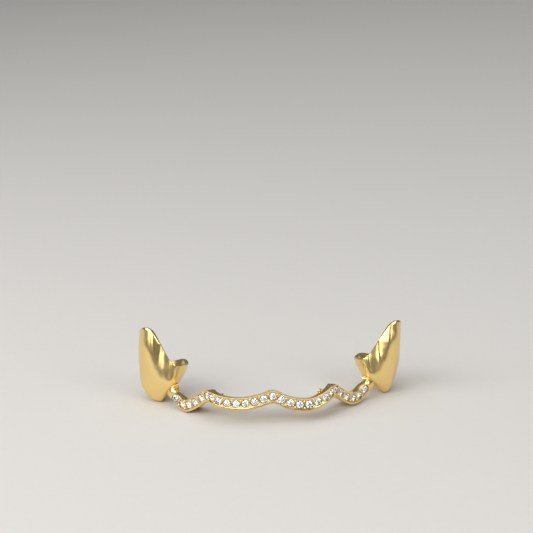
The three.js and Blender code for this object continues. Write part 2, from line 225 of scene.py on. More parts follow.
class GrillzStones(bpy.types.PropertyGroup):
    diameter: length("Stone diameter", "Diameter of a stone at its girdle", 1.06)
    end_margin: length("End margin", "From a cap's junction to the middle of the last stone", 0.85)
    table: share("Table", "Width of the table as a share of the diameter", 0.57)
    crown: share("Crown", "Height of the crown as a share of the diameter", 0.15)
    girdle: share("Girdle", "Height of the girdle as a share of the diameter", 0.04)
    pavilion: share("Pavilion", "Depth of the pavilion as a share of the diameter", 0.43)
    star: share("Star length", "How far the star facets reach from the table to the girdle", 0.5)
    half: share("Lower half length", "How far the lower halves reach from girdle to culet", 0.78)
    clearance: length("Seat clearance", "Gap between a stone and its seat", 0.045)
    proud: length("Table proud", "How far a table stands in front of the rails", 0.02)
    bead: length("Bead radius", "Radius of the beads that hold the stones", 0.17)
    bead_sink: length("Bead sink", "How far the beads are pushed into the rails", 0.06)
    girdle_sides: number("Girdle sides", "Sides of the girdle before cutting", 32, 16)


class GrillzFinish(bpy.types.PropertyGroup):
    gold: colour("Gold", "Colour of the polished gold", (0.95, 0.71, 0.3))
    # Gold colour painted into the hollows as painted shade, wherever ambient occlusion finds them
    gold_painted_shade: colour("Gold in shade", "Colour of the gold in its hollows", (0.5, 0.28, 0.07))
    diamond: colour("Diamond", "Colour of the stones", (0.98, 0.985, 1.0))
    diamond_cloud: colour("Diamond cloud", "Colour where the stones are cloudy", (0.9, 0.92, 0.95))
    floor: colour("Floor", "Colour of the floor", (0.62, 0.6, 0.57))


class GrillzStage(bpy.types.PropertyGroup):
    camera_place: FloatVectorProperty(
        name="Camera place", description="Where the camera stands", subtype="TRANSLATION",
        unit="LENGTH", default=(0.00046, -0.18743, 0.07859),
    )
    camera_aim: FloatVectorProperty(
        name="Camera direction", description="Where the camera looks", subtype="DIRECTION",
        default=(-0.0022, 0.9567, -0.2911),
    )
    camera_up: FloatVectorProperty(
        name="Camera up", description="The upright of the picture", subtype="DIRECTION",
        default=(0.0412, 0.291, 0.9558),
    )
    lens: FloatProperty(name="Lens", description="Focal length in millimetres", default=90.0)
    sensor: FloatProperty(name="Sensor", description="Sensor width in millimetres", default=36.0)
    near: length("Near limit", "Nearest distance that the camera sees", 5.0)
    floor_size: length("Floor size", "Side of the floor", 3000.0)
    room: colour("Room", "Colour of the room round the stage", (0.95, 0.97, 1.0))
    room_light: share("Room light", "Strength of the light from the room", 0.18)


SETTINGS = {
    "grillz_caps": GrillzCaps,
    "grillz_bar": GrillzBar,
    "grillz_stones": GrillzStones,
    "grillz_finish": GrillzFinish,
    "grillz_stage": GrillzStage,
}


def caps_settings():
    return bpy.context.scene.grillz_caps


def bar_settings():
    return bpy.context.scene.grillz_bar


def stone_settings():
    return bpy.context.scene.grillz_stones


# The stones' middle above the underside of the lowest lobe
def row_height():
    size = bar_settings()
    return size.bed_height / 2 + size.lower_rail


# Rises smoothly from 0 to 1 between two values
def eased(value, start, end):
    way = np.clip((value - start) / (end - start), 0, 1)
    return way * way * (3 - 2 * way)


# Curves through points, for many places on them at once. The last axis holds x, y and z, and a
# closed curve may take a ring of points for each place
def cubic(before, start, end, after, weight, kind):
    if kind == "uniform":
        lead = (end - before) * 0.5
        trail = (after - start) * 0.5
    else:
        knots = [
            np.linalg.norm(b - a, axis=-1, keepdims=True) ** 0.5
            for a, b in ((before, start), (start, end), (end, after))
        ]
        middle = np.where(knots[1] < SAME_KNOT, 1.0, knots[1])
        first = np.where(knots[0] < SAME_KNOT, middle, knots[0])
        last = np.where(knots[2] < SAME_KNOT, middle, knots[2])
        ahead = (end - start) / middle
        lead = ((start - before) / first - (end - before) / (first + middle) + ahead) * middle
        trail = (ahead - (after - start) / (middle + last) + (after - end) / last) * middle
    square = -3 * start + 3 * end - 2 * lead - trail
    cube = 2 * start - 2 * end + lead + trail
    return start + (lead + (square + cube * weight) * weight) * weight


def open_curve(points, places):
    points = np.asarray(points, float)
    count = len(points)
    ends = np.concatenate([[2 * points[0] - points[1]], points, [2 * points[-1] - points[-2]]])
    spot = np.clip(np.asarray(places, float), 0, 1) * (count - 1)
    index = np.minimum(spot.astype(int), count - 2)
    weight = (spot - index)[:, None]
    picked = [ends[index + step] for step in range(4)]
    return cubic(*picked, weight, "centripetal")


def closed_curve(points, places, kind="centripetal"):
    count = len(points)
    spot = (np.asarray(places, float) % 1.0) * count
    index = spot.astype(int) % count
    weight = (spot - spot.astype(int))[:, None]
    rows = np.arange(len(spot))
    one_ring_each = points.ndim == 3
    corners = [(index + step) % count for step in (-1, 0, 1, 2)]
    picked = [points[corner, rows] if one_ring_each else points[corner] for corner in corners]
    return cubic(*picked, weight, kind)


# One cap in its own frame, at the tip: x towards the midline, y towards the lips, z up
class CapForm:
    def __init__(self, side):
        size = caps_settings()
        self.size = size
        crown = side["crown"] * size.crown
        angle = radians(side["facing"])
        tip_out = side["side"] * side["out"] * size.tip_half_span
        self.tip = np.array([tip_out, size.tip_depth, size.tip_lift])
        self.labial = np.array([side["side"] * sin(angle), -cos(angle), 0.0])
        self.mesial = np.array([-side["side"] * cos(angle), -sin(angle), 0.0])
        heights = np.array([height for height, _, _ in CAP_SECTIONS])
        centres = np.array([centre for _, centre, _ in CAP_SECTIONS])
        lean = side["lean"] * size.ridge_reach * heights ** 3
        self.middle_line = np.stack([
            -lean * cos(angle), lean * sin(angle) - centres * size.setback, heights * crown,
        ], axis=1)
        low = 1 - eased(heights, *BELLY_SPAN)
        self.columns = []
        for direction, (name, turn, reach, belly) in enumerate(CAP_DIRECTIONS):
            far = side["far"] if name in FAR_DIRECTIONS else 1.0
            shares = np.array([section[direction] for _, _, section in CAP_SECTIONS])
            out = shares * getattr(size, reach) * far * (1 + belly * side["belly"] * low)
            heading = np.array([sin(radians(turn)), cos(radians(turn)), 0.0])
            self.columns.append(self.middle_line + out[:, None] * heading)
        self.gum = np.array([
            (step * size.crown, 0.0, height * crown) for step, height in enumerate(GUM_LINE)
        ])

    def point(self, around, up):
        rings = np.stack([open_curve(column, up) for column in self.columns])
        return closed_curve(rings, around)

    def gum_share(self, around):
        level = closed_curve(self.gum, around, "uniform")[:, 2]
        low = np.zeros(len(around))
        high = np.ones(len(around))
        for _ in range(GUM_HALVINGS):
            half = (low + high) / 2
            under = self.point(around, half)[:, 2] < level
            low = np.where(under, half, low)
            high = np.where(under, high, half)
        return high

    def ring(self, around, gum, up, inset):
        point = self.point(around, up * gum)
        inward = open_curve(self.middle_line, up * gum) - point
        inward[:, 2] = 0
        inward /= np.linalg.norm(inward, axis=1, keepdims=True)
        return point + inward * inset

    def place(self, points):
        return (self.tip + points[:, :1] * self.mesial + points[:, 1:2] * self.labial
                + points[:, 2:] * np.array([0.0, 0.0, 1.0]))

    def beside(self, spot):
        size = bar_settings()
        point = (self.tip + self.mesial * spot["along"] * self.size.mesial_reach
                 - self.labial * spot["back"] * self.size.mesial_reach)
        point[2] = row_height() + spot["rise"] * size.rise
        return point


# The bar's front line and its frame: along the bar, into the mouth, up
class BarLine:
    def __init__(self, forms):
        size = bar_settings()
        halves = []
        for side, form in zip(CAP_SIDES, forms):
            end = form.beside(JUNCTION)
            half = []
            for out, back, left, right in BAR_STATIONS:
                rise = left if side["side"] < 0 else right
                half.append((out * end[0], back * end[1], row_height() + rise * size.rise))
            half += [tuple(end), tuple(form.beside(BURIED_END))]
            halves.append(half[::-1] if side["side"] < 0 else half[1:])
        self.points = np.array(halves[0] + halves[1])
        self.grain = np.linspace(0, 1, LINE_SAMPLES)
        fine = open_curve(self.points, self.grain)
        steps = np.linalg.norm(np.diff(fine, axis=0), axis=1)
        self.run = np.concatenate([[0], np.cumsum(steps)])
        self.fine = fine
        self.length = self.run[-1]
        self.middle = self.nearest(self.points[len(BAR_STATIONS) + 1])
        self.junctions = [self.nearest(form.beside(JUNCTION)) for form in forms]

    def nearest(self, point):
        return self.run[np.argmin(np.linalg.norm(self.fine - point, axis=1))] / self.length

    def frame(self, shares):
        places = np.interp(np.asarray(shares) * self.length, self.run, self.grain)
        origin = open_curve(self.points, places)
        ahead = open_curve(self.points, np.minimum(places + DIRECTION_STEP, 1))
        behind = open_curve(self.points, np.maximum(places - DIRECTION_STEP, 0))
        along = ahead - behind
        along[:, 2] = 0
        along /= np.linalg.norm(along, axis=1, keepdims=True)
        inward = np.stack([-along[:, 1], along[:, 0], np.zeros(len(along))], axis=1)
        return origin, along, inward

    def stone_shares(self):
        margin = stone_settings().end_margin
        count = len(STONES) // 2
        reach = [abs(junction - self.middle) * self.length - margin for junction in self.junctions]
        left = [self.middle - step * reach[0] / count / self.length for step in range(count, 0, -1)]
        right = [self.middle + step * reach[1] / count / self.length for step in range(count + 1)]
        return np.array(left + right)


# From the frame of the teeth to the pose in which it rests, found from the places of the stones
def rest_matrix(line):
    size = stone_settings()
    origin, _, inward = line.frame(line.stone_shares())
    depth = (size.crown + size.girdle + size.pavilion) * size.diameter
    centre = origin + inward * (depth / 2 - size.proud)
    found = np.array([tuple(sum(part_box(name), Vector()) / 2) for name in STONES])
    u, _, v = np.linalg.svd((centre - centre.mean(0)).T @ (found - found.mean(0)))
    turn = (u @ v).T
    matrix = Matrix([list(row) for row in turn]).to_4x4()
    matrix.translation = Vector(found.mean(0) - turn @ centre.mean(0))
    return matrix


# Blender's own tools, each on one object
def nothing_selected():
    bpy.ops.object.select_all(action="DESELECT")


def active(name):
    piece = bpy.context.active_object
    piece.name = name
    piece.data.name = name
    return piece


def work_on(piece):
    nothing_selected()
    piece.select_set(True)
    bpy.context.view_layer.objects.active = piece


def settle(piece):
    work_on(piece)
    bpy.ops.object.transform_apply(location=True, rotation=True, scale=True)


def apply_modifier(piece, kind, **values):
    work_on(piece)
    modifier = piece.modifiers.new(kind.title(), kind)
    for name, value in values.items():
        setattr(modifier, name, value)
    bpy.ops.object.modifier_apply(modifier=modifier.name)


def cut_or_join(piece, other, operation):
    apply_modifier(piece, "BOOLEAN", object=other, operation=operation, solver="EXACT")
    bpy.data.objects.remove(other, do_unlink=True)


def copy_of(piece, name, matrix):
    copy = piece.copy()
    copy.data = piece.data.copy()
    copy.name = name
    copy.data.name = name
    copy.data.transform(matrix)
    bpy.context.collection.objects.link(copy)
    return copy


def join(pieces, name):
    nothing_selected()
    for piece in pieces:
        piece.select_set(True)
    bpy.context.view_layer.objects.active = pieces[0]
    bpy.ops.object.join()
    return active(name)


# A grid is bent to the shape of rows of points, its seam and poles are welded, and open ends are
# filled
def wrapped_grid(name, rows, closed_ends=False):
    count = rows.shape[1]
    nothing_selected()
    bpy.ops.mesh.primitive_grid_add(x_subdivisions=count - 1, y_subdivisions=len(rows) - 1, size=1)
    piece = active(name)
    piece.data.vertices.foreach_set("co", rows.reshape(-1).astype(np.float32))
    bpy.ops.object.mode_set(mode="EDIT")
    bpy.ops.mesh.select_mode(type="VERT")
    bpy.ops.mesh.select_all(action="SELECT")
    bpy.ops.mesh.remove_doubles(threshold=WELD)
    if closed_ends:
        bpy.ops.mesh.select_all(action="DESELECT")
        bpy.ops.mesh.select_non_manifold(extend=False)
        bpy.ops.mesh.edge_face_add()
        bpy.ops.mesh.select_all(action="SELECT")
    bpy.ops.mesh.normals_make_consistent(inside=False)
    bpy.ops.object.mode_set(mode="OBJECT")
    return piece


def closed_rows(rings):
    return np.stack([np.vstack([ring, ring[:1]]) for ring in rings])


# Rings of a cap from its tip up the outside, over the rim and down the socket
def cap_shell(form, name):
    size = form.size
    around = np.arange(size.around) / size.around
    gum = form.gum_share(around)
    rings = [np.repeat(np.zeros((1, 3)), size.around, axis=0)]
    for row in range(size.rows_outside + 1):
        up = (row / size.rows_outside) ** ROW_SPACING
        rings.append(form.ring(around, gum, up, 0.0))
    outer = rings[-1]
    inner = form.ring(around, gum, 1.0, size.wall)
    middle = (outer + inner) / 2
    half = (outer - inner) / 2
    for row in range(1, size.rows_rim):
        angle = pi * row / size.rows_rim
        rise = np.array([0.0, 0.0, RIM_RISE * size.wall / 2 * sin(angle)])
        rings.append(middle + half * cos(angle) + rise)
    for row in range(size.rows_inside + 1):
        up = 1 - (1 - size.socket_start) * row / size.rows_inside
        rings.append(form.ring(around, gum, up, size.wall))
    wall_foot = rings[-1]
    floor = wall_foot.mean(0)
    floor[2] = size.tip_solid
    for out in SOCKET_FLOOR_ROWS:
        rings.append(floor + (wall_foot - floor) * [out, out, out ** 2])
    rings.append(np.repeat(floor[None], size.around, axis=0))
    placed = [form.place(ring) for ring in rings]
    return wrapped_grid(name, closed_rows(placed))


# What the bar gives way to inside a cap
def cap_core(form, name):
    size = form.size
    around = np.arange(size.around) / size.around
    gum = form.gum_share(around)
    rings = []
    for row in range(size.rows_inside + 1):
        up = size.socket_start + (1 - size.socket_start) * row / size.rows_inside
        rings.append(form.ring(around, gum, up, size.wall / 2))
    floor = rings[0].mean(0)
    floor[2] = size.tip_solid
    top = rings[-1].mean(0)
    poles = [np.repeat(pole[None], size.around, axis=0) for pole in (floor, top)]
    rings = [poles[0], *rings, poles[1]]
    return wrapped_grid(name, closed_rows([form.place(ring) for ring in rings]))


# Section of the bar: first into the mouth, then up from the middle of the stones. The lip stands
# lower where the sole is narrower
def bar_section(sole):
    size = bar_settings()
    bed = size.bed_height / 2
    top = bed + size.upper_rail
    foot = -bed - size.lower_rail
    floor = foot + size.sole
    channel = size.front_wall + sole * size.channel
    lip = channel + sole * size.lip
    lip_top = floor + sole * size.lip_height
    slope = size.bed / 4
    edge = sole * size.edge
    return np.array([
        (size.edge, foot),
        (0.0, foot + size.edge),
        (0.0, -bed - slope),
        (size.bed, -bed),
        (size.bed, bed),
        (0.0, bed + slope),
        (0.0, top - size.edge / 2),
        (size.edge / 2, top),
        (size.front_wall, top + size.edge / 2),
        (size.front_wall, floor),
        (channel, floor),
        (channel, lip_top),
        (lip - edge, lip_top + edge / 2),
        (lip, lip_top - edge),
        (lip, floor - edge),
        (lip - edge, floor - size.sole_edge),
        (size.front_wall / 2, foot),
    ])


def bar_solid(line, name):
    size = bar_settings()
    shares = np.linspace(0, 1, size.steps + 1)
    origin, _, inward = line.frame(shares)
    to_cap = np.minimum(shares - line.junctions[0], line.junctions[1] - shares) * line.length
    wide = eased(to_cap, size.plain_end, size.plain_end + size.taper)
    sole = size.end_share + (1 - size.end_share) * wide
    rings = []
    for spot, into, narrow in zip(origin, inward, sole):
        section = bar_section(narrow)
        rings.append(spot + section[:, :1] * into + section[:, 1:] * np.array([0.0, 0.0, 1.0]))
    bar = wrapped_grid(name, closed_rows(rings), closed_ends=True)
    apply_modifier(
        bar, "BEVEL", width=size.polish, segments=2, limit_method="ANGLE",
        angle_limit=radians(BEVEL_ABOVE), use_clamp_overlap=True,
    )
    return bar


# A matrix that stands a turned piece, its axis along z, on the front of the bar
def on_front(line, where, proud, height=0.0):
    origin, along, inward = (part[0] for part in line.frame([where]))
    out = -inward
    matrix = Matrix((along, np.cross(out, along), out)).transposed().to_4x4()
    matrix.translation = Vector(origin + out * proud + np.array([0.0, 0.0, height]))
    return matrix


# A round pocket with a pointed foot for each stone, all in one piece
def seat_cutter(line):
    size = stone_settings()
    radius = size.diameter / 2 + size.clearance
    top = bar_settings().bed + size.proud + size.clearance
    foot = -(size.crown + size.girdle) * size.diameter - size.clearance
    tip = foot - size.pavilion * size.diameter - size.clearance
    nothing_selected()
    bpy.ops.mesh.primitive_cone_add(
        vertices=SEAT_SIDES, radius1=radius, radius2=radius, depth=top - foot,
        location=(0, 0, (top + foot) / 2),
    )
    cutter = active("seat cutter")
    bpy.ops.object.mode_set(mode="EDIT")
    bpy.ops.mesh.select_mode(type="FACE")
    bpy.ops.mesh.select_all(action="DESELECT")
    mesh = bmesh.from_edit_mesh(cutter.data)
    for face in mesh.faces:
        face.select_set(face.normal.z < DOWNWARD)
    bmesh.update_edit_mesh(cutter.data)
    bpy.ops.mesh.extrude_region_move(TRANSFORM_OT_translate={"value": (0, 0, tip - foot)})
    bpy.ops.mesh.merge(type="CENTER")
    bpy.ops.object.mode_set(mode="OBJECT")
    settle(cutter)
    cutters = [
        copy_of(cutter, f"seat_{place}", on_front(line, where, size.proud))
        for place, where in enumerate(line.stone_shares())
    ]
    bpy.data.objects.remove(cutter, do_unlink=True)
    return join(cutters, "seats")


# The rounded shoulder of solder by which a cap runs into the bar
def shoulder(form, name):
    size = bar_settings()
    nothing_selected()
    bpy.ops.mesh.primitive_uv_sphere_add(
        segments=SHOULDER_SEGMENTS, ring_count=SHOULDER_SEGMENTS // 2, radius=1.0
    )
    solid = active(name)
    up = (0.0, 0.0, 1.0)
    facing = Matrix((form.mesial, np.cross(up, form.mesial), up)).transposed().to_4x4()
    facing.translation = Vector(form.beside(SHOULDER))
    reach = Matrix.Diagonal((size.shoulder_along, size.shoulder_out, size.shoulder_up, 1.0))
    solid.data.transform(facing @ reach)
    return solid


# What lies below the floor is ground off
def ground_flat(piece):
    work_on(piece)
    bpy.ops.object.mode_set(mode="EDIT")
    bpy.ops.mesh.select_all(action="SELECT")
    bpy.ops.mesh.bisect(
        plane_co=(0, 0, 0), plane_no=(0, 0, 1), use_fill=True, clear_inner=True, clear_outer=False,
        threshold=CUT_THRESHOLD,
    )
    bpy.ops.object.mode_set(mode="OBJECT")


def finish_piece(piece, nodes, material, rest, smooth_angle=None):
    piece.data.transform(rest)
    piece.data.materials.clear()
    piece.data.materials.append(material)
    work_on(piece)
    if smooth_angle is None:
        bpy.ops.object.shade_flat()
    else:
        bpy.ops.object.shade_smooth_by_angle(angle=smooth_angle)
    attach(piece, "root")
    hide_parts(*nodes)


def forms_and_line():
    forms = [CapForm(side) for side in CAP_SIDES]
    return forms, BarLine(forms)


class GRILLZ_OT_casting(bpy.types.Operator):
    """Model the two fang caps, the bar and their solder as one casting, and cut the seats"""

    bl_idname = "grillz.casting"
    bl_label = "Casting"

    def execute(self, context):
        forms, line = forms_and_line()
        casting = bar_solid(line, "fang_caps_and_bar")
        for form in forms:
            cut_or_join(casting, cap_core(form, "core"), "DIFFERENCE")
            cut_or_join(casting, cap_shell(form, "cap"), "UNION")
            cut_or_join(casting, shoulder(form, "shoulder"), "UNION")
        cut_or_join(casting, seat_cutter(line), "DIFFERENCE")
        rest = rest_matrix(line)
        finish_piece(casting, ["casting"], gold_material(), rest, radians(CASTING_SMOOTH))
        ground_flat(casting)
        return {"FINISHED"}


class GRILLZ_OT_beads(bpy.types.Operator):
    """Raise the pairs of beads between the stones"""

    bl_idname = "grillz.beads"
    bl_label = "Beads"

    def execute(self, context):
        _, line = forms_and_line()
        size = stone_settings()
        bar = bar_settings()
        nothing_selected()
        bpy.ops.mesh.primitive_uv_sphere_add(
            segments=BEAD_SEGMENTS, ring_count=BEAD_RINGS, radius=size.bead
        )
        bead = active("bead")
        bpy.ops.object.mode_set(mode="EDIT")
        bpy.ops.mesh.select_all(action="SELECT")
        bpy.ops.transform.resize(value=BEAD_SHAPE)
        bpy.ops.object.mode_set(mode="OBJECT")
        height = bar.bed_height / 2 + size.bead_sink - size.bead
        shares = line.stone_shares()
        beads = []
        for gap, where in enumerate((shares[1:] + shares[:-1]) / 2):
            for end in (-1, 1):
                place = on_front(line, where, -bar.bed, end * height)
                beads.append(copy_of(bead, f"bead_{gap}_{end}", place))
        bpy.data.objects.remove(bead, do_unlink=True)
        beads = join(beads, "bead_row")
        rest = rest_matrix(line)
        finish_piece(beads, ["casting"], bead_material(), rest, radians(BEAD_SMOOTH))
        return {"FINISHED"}


# The facets of a brilliant, each as a point on it and its outward normal, the table at z = 0
def facet_planes():
    size = stone_settings()
    radius = size.diameter / 2
    girdle_top = -size.crown * size.diameter
    girdle_foot = girdle_top - size.girdle * size.diameter
    culet = girdle_foot - size.pavilion * size.diameter
    eighth = radians(FACET_TURN)
    table = radius * size.table

    def at(out, turn, height):
        return Vector((out * cos(turn), out * sin(turn), height))

    def plane(a, b, c):
        normal = (b - a).cross(c - a).normalized()
        middle = Vector((0, 0, (girdle_top + girdle_foot) / 2))
        if normal.dot(a - middle) < 0:
            normal = -normal
        return a, normal

    half = eighth / 2
    crown_fall = -girdle_top / (radius - table)
    star_out = table * cos(half) + size.star * (radius - table * cos(half))
    star_height = -(star_out * cos(half) - table) * crown_fall
    main_rise = (girdle_foot - culet) / radius
    half_out = radius * (1 - size.half)
    half_height = culet + half_out * cos(half) * main_rise
    planes = [(Vector((0, 0, 0)), Vector((0, 0, 1)))]
    half_turns = (-half, half)
    for sector in range(360 // FACET_TURN):
        turn = sector * eighth
        side = Vector((-sin(turn), cos(turn), 0))
        planes.append(plane(
            at(table, turn, 0), at(radius, turn, girdle_top), at(table, turn, 0) + side
        ))
        planes.append(plane(
            at(table, turn, 0), at(table, turn + eighth, 0), at(star_out, turn + half, star_height)
        ))
        planes.append(plane(
            at(0, 0, culet), at(radius, turn, girdle_foot), at(0, 0, culet) + side
        ))
        for beside in half_turns:
            star = at(star_out, turn + beside, star_height)
            planes.append(plane(
                star, at(radius, turn, girdle_top), at(radius, turn + beside, girdle_top)
            ))
            lower = at(half_out, turn + beside, half_height)
            planes.append(plane(
                lower, at(radius, turn, girdle_foot), at(radius, turn + beside, girdle_foot)
            ))
    return planes, culet


class GRILLZ_OT_stones(bpy.types.Operator):
    """Cut one brilliant from a round blank and set a copy in each seat"""

    bl_idname = "grillz.stones"
    bl_label = "Stones"

    def execute(self, context):
        _, line = forms_and_line()
        size = stone_settings()
        planes, culet = facet_planes()
        nothing_selected()
        bpy.ops.mesh.primitive_cylinder_add(
            vertices=size.girdle_sides, radius=size.diameter / 2, depth=-2 * culet,
            location=(0, 0, 0),
        )
        blank = active("brilliant")
        bpy.ops.object.mode_set(mode="EDIT")
        for point, normal in planes:
            bpy.ops.mesh.select_all(action="SELECT")
            bpy.ops.mesh.bisect(
                plane_co=point, plane_no=normal, use_fill=True, clear_inner=False, clear_outer=True,
                threshold=CUT_THRESHOLD,
            )
        bpy.ops.mesh.select_all(action="SELECT")
        bpy.ops.mesh.remove_doubles(threshold=FACET_WELD)
        bpy.ops.mesh.normals_make_consistent(inside=False)
        bpy.ops.object.mode_set(mode="OBJECT")
        rest = rest_matrix(line)
        material = diamond_material()
        for place, (cad_node, where) in enumerate(zip(STONES, line.stone_shares())):
            turn = Matrix.Rotation(radians(STONE_TURN * place % FACET_TURN), 4, "Z")
            name = cad_node.replace("stone", "brilliant")
            brilliant = copy_of(blank, name, on_front(line, where, size.proud) @ turn)
            finish_piece(brilliant, [cad_node], material, rest)
        bpy.data.objects.remove(blank, do_unlink=True)
        return {"FINISHED"}


# Numbers of the materials. Scales are per metre, noises are given by their detail and roughness,
# spans are of a noise's value, and fades say how much of a mask is left in patches
WAVE_NOISE = (2.0, 0.45)
HAZE_NOISE = (5.0, 0.62)
SCRATCH_NOISE = (4.0, 0.7)
SCRATCH_SCALE = 2600.0
HAZE_FINENESS = 2.3
HAZE_SPAN = (0.42, 0.68)
SCRATCH_STRETCH = (1.0, 0.25, 1.0)
SCRATCH_TURN = (0.6, 0.3, 0.9)
SCRATCH_ROUGHNESS = 0.08
PATCH_SCALE = 900.0
PATCH_DETAIL = 4.0
PATCH_SPAN = (0.25, 0.6)
PATCH_FADE = (0.55, 1.0)
# Painted shade in hollows: the ambient occlusion values between which the gold darkens, the extra
# roughness there and the occlusion samples
HOLLOW_SHADE_SPAN = {"Unshaded above": 0.7, "Dark below": 0.2}
HOLLOW_ROUGHNESS = 0.15
HOLLOW_SAMPLES = 8
CLOUD_SCALE = 700.0
CLOUD_DETAIL = 3.0
CLOUD_SPAN = (0.35, 0.7)
POLISHING_SCALE = 5200.0
POLISHING_DETAIL = 2.0
POLISHING_SPAN = (0.3, 0.7)
POLISHING_ROUGHNESS = (0.0, 0.03)
POLISHING_HEIGHT = 0.0000004
DIAMOND_IOR = 2.417
PAPER_SCALE = 900.0
PAPER_DETAIL = 4.0
PAPER_SHADE = 0.97
PAPER_ROUGHNESS = 0.75

# Sockets of a Mix node for colours, which share their names with others
MIX_FACTOR = 0
MIX_FIRST = 6
MIX_SECOND = 7
MIX_RESULT = 2


# Materials are built from nodes, named for what they do
def new_group(name, inputs, outputs):
    group = bpy.data.node_groups.new(name, "ShaderNodeTree")
    for label, kind, value in inputs:
        socket = group.interface.new_socket(label, in_out="INPUT", socket_type=kind)
        socket.default_value = value
    for label, kind in outputs:
        group.interface.new_socket(label, in_out="OUTPUT", socket_type=kind)
    start = group.nodes.new("NodeGroupInput")
    end = group.nodes.new("NodeGroupOutput")
    return group, start, end


def node(tree, kind, inputs=None, **values):
    made = tree.nodes.new(kind)
    for name, value in values.items():
        setattr(made, name, value)
    for socket, value in (inputs or {}).items():
        if isinstance(value, bpy.types.NodeSocket):
            tree.links.new(value, made.inputs[socket])
        else:
            made.inputs[socket].default_value = value
    return made


def maths(tree, operation, *terms, clamp=False):
    inputs = dict(enumerate(terms))
    return node(tree, "ShaderNodeMath", inputs, operation=operation, use_clamp=clamp).outputs[0]


def spread_of(tree, value, low, high, start=0.0, end=1.0):
    inputs = {"Value": value, "From Min": low, "From Max": high, "To Min": start, "To Max": end}
    return node(tree, "ShaderNodeMapRange", inputs).outputs["Result"]


def object_place(tree):
    return node(tree, "ShaderNodeTexCoord").outputs["Object"]


def noise_of(tree, place, scale, detail, roughness=0.5):
    inputs = {"Vector": place, "Scale": scale, "Detail": detail, "Roughness": roughness}
    return node(tree, "ShaderNodeTexNoise", inputs).outputs["Fac"]


def blended(tree, factor, first, second):
    inputs = {MIX_FACTOR: factor, MIX_FIRST: first, MIX_SECOND: second}
    return node(tree, "ShaderNodeMix", inputs, data_type="RGBA").outputs[MIX_RESULT]


# Hand polish: slow waves left by the wheel, fine scratches and a haze of handling
def hand_polish_group():
    found = bpy.data.node_groups.get("Hand polish")
    if found:
        return found
    group, start, end = new_group(
        "Hand polish",
        [
            ("Wave scale", "NodeSocketFloat", 260.0),
            ("Scratch scale", "NodeSocketFloat", SCRATCH_SCALE),
            ("Smooth", "NodeSocketFloat", 0.1),
            ("Hazy", "NodeSocketFloat", 0.22),
        ],
        [
            ("Roughness", "NodeSocketFloat"),
            ("Waves", "NodeSocketFloat"),
            ("Scratches", "NodeSocketFloat"),
        ],
    )
    place = object_place(group)
    waves = noise_of(group, place, start.outputs["Wave scale"], *WAVE_NOISE)
    stretched = node(group, "ShaderNodeMapping", {
        "Vector": place, "Scale": SCRATCH_STRETCH, "Rotation": SCRATCH_TURN,
    }).outputs["Vector"]
    scratches = noise_of(group, stretched, start.outputs["Scratch scale"], *SCRATCH_NOISE)
    haze_scale = maths(group, "MULTIPLY", start.outputs["Wave scale"], HAZE_FINENESS)
    mask = spread_of(group, noise_of(group, place, haze_scale, *HAZE_NOISE), *HAZE_SPAN)
    span = maths(group, "SUBTRACT", start.outputs["Hazy"], start.outputs["Smooth"])
    rough = maths(group, "ADD", start.outputs["Smooth"], maths(group, "MULTIPLY", mask, span))
    fine = maths(group, "MULTIPLY", maths(group, "SUBTRACT", scratches, 0.5), SCRATCH_ROUGHNESS)
    group.links.new(maths(group, "ADD", rough, fine), end.inputs["Roughness"])
    group.links.new(waves, end.inputs["Waves"])
    group.links.new(scratches, end.inputs["Scratches"])
    return group


# Painted shade in hollows: how deep a place lies between its neighbours, broken up by noise, as a
# mask that darkens the gold's colour
def hollow_shade_group():
    found = bpy.data.node_groups.get("Painted hollow shade")
    if found:
        return found
    group, start, end = new_group(
        "Painted hollow shade",
        [
            ("Reach", "NodeSocketFloat", 0.0006),
            ("Unshaded above", "NodeSocketFloat", 0.75),
            ("Dark below", "NodeSocketFloat", 0.25),
        ],
        [("Mask", "NodeSocketFloat")],
    )
    hollow = node(
        group, "ShaderNodeAmbientOcclusion", {"Distance": start.outputs["Reach"]},
        samples=HOLLOW_SAMPLES,
    )
    mask = spread_of(
        group, hollow.outputs["AO"], start.outputs["Unshaded above"], start.outputs["Dark below"]
    )
    patches = noise_of(group, object_place(group), PATCH_SCALE, PATCH_DETAIL)
    left = spread_of(group, patches, *PATCH_SPAN, *PATCH_FADE)
    group.links.new(maths(group, "MULTIPLY", mask, left, clamp=True), end.inputs["Mask"])
    return group


def shader_material(name):
    found = bpy.data.materials.get(name)
    if found:
        return found, None
    material = bpy.data.materials.new(name)
    material.use_nodes = True
    return material, material.node_tree


def placed_group(tree, group, inputs):
    made = tree.nodes.new("ShaderNodeGroup")
    made.node_tree = group
    for name, value in inputs.items():
        made.inputs[name].default_value = value
    return made


